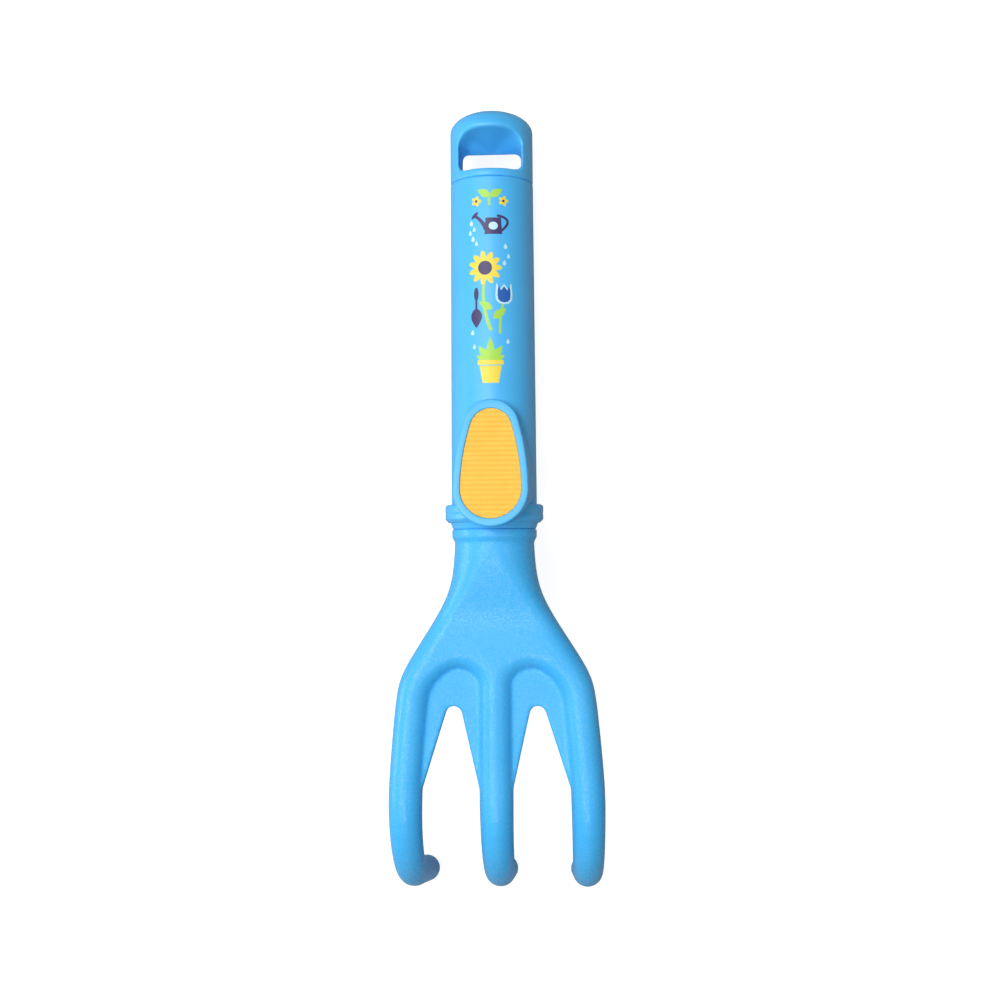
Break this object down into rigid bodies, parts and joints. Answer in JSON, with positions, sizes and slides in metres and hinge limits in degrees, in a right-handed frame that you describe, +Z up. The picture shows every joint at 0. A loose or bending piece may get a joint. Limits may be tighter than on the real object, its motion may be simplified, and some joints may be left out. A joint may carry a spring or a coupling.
{
  "type": "kids hand cultivator",
  "caption": "Child-size garden hand cultivator: hooked tines on a webbed palm, plugged into a tube handle with a ribbed thumb pad and a slotted hanging cap.",
  "frame": {"origin": "middle of the tool's footprint on the table it lies on, tines down", "axes": "+Y from the fork towards the hanging cap, +Z up through the thumb pad, +X to the right as the tool is seen from above with the cap at the top"},
  "size_m": [0.0714, 0.2705, 0.0561],
  "materials": {
    "blue_plastic": "satin light blue moulding",
    "blue_textured_plastic": "finely textured light blue moulding",
    "yellow_rubber": "soft matt yellow with low cross ribs"
  },
  "bodies": {
    "root": {"handle": "blue_plastic", "end_cap": "blue_plastic", "fork_head": "blue_textured_plastic", "thumb_pad": "yellow_rubber"}
  },
  "joints": []
}
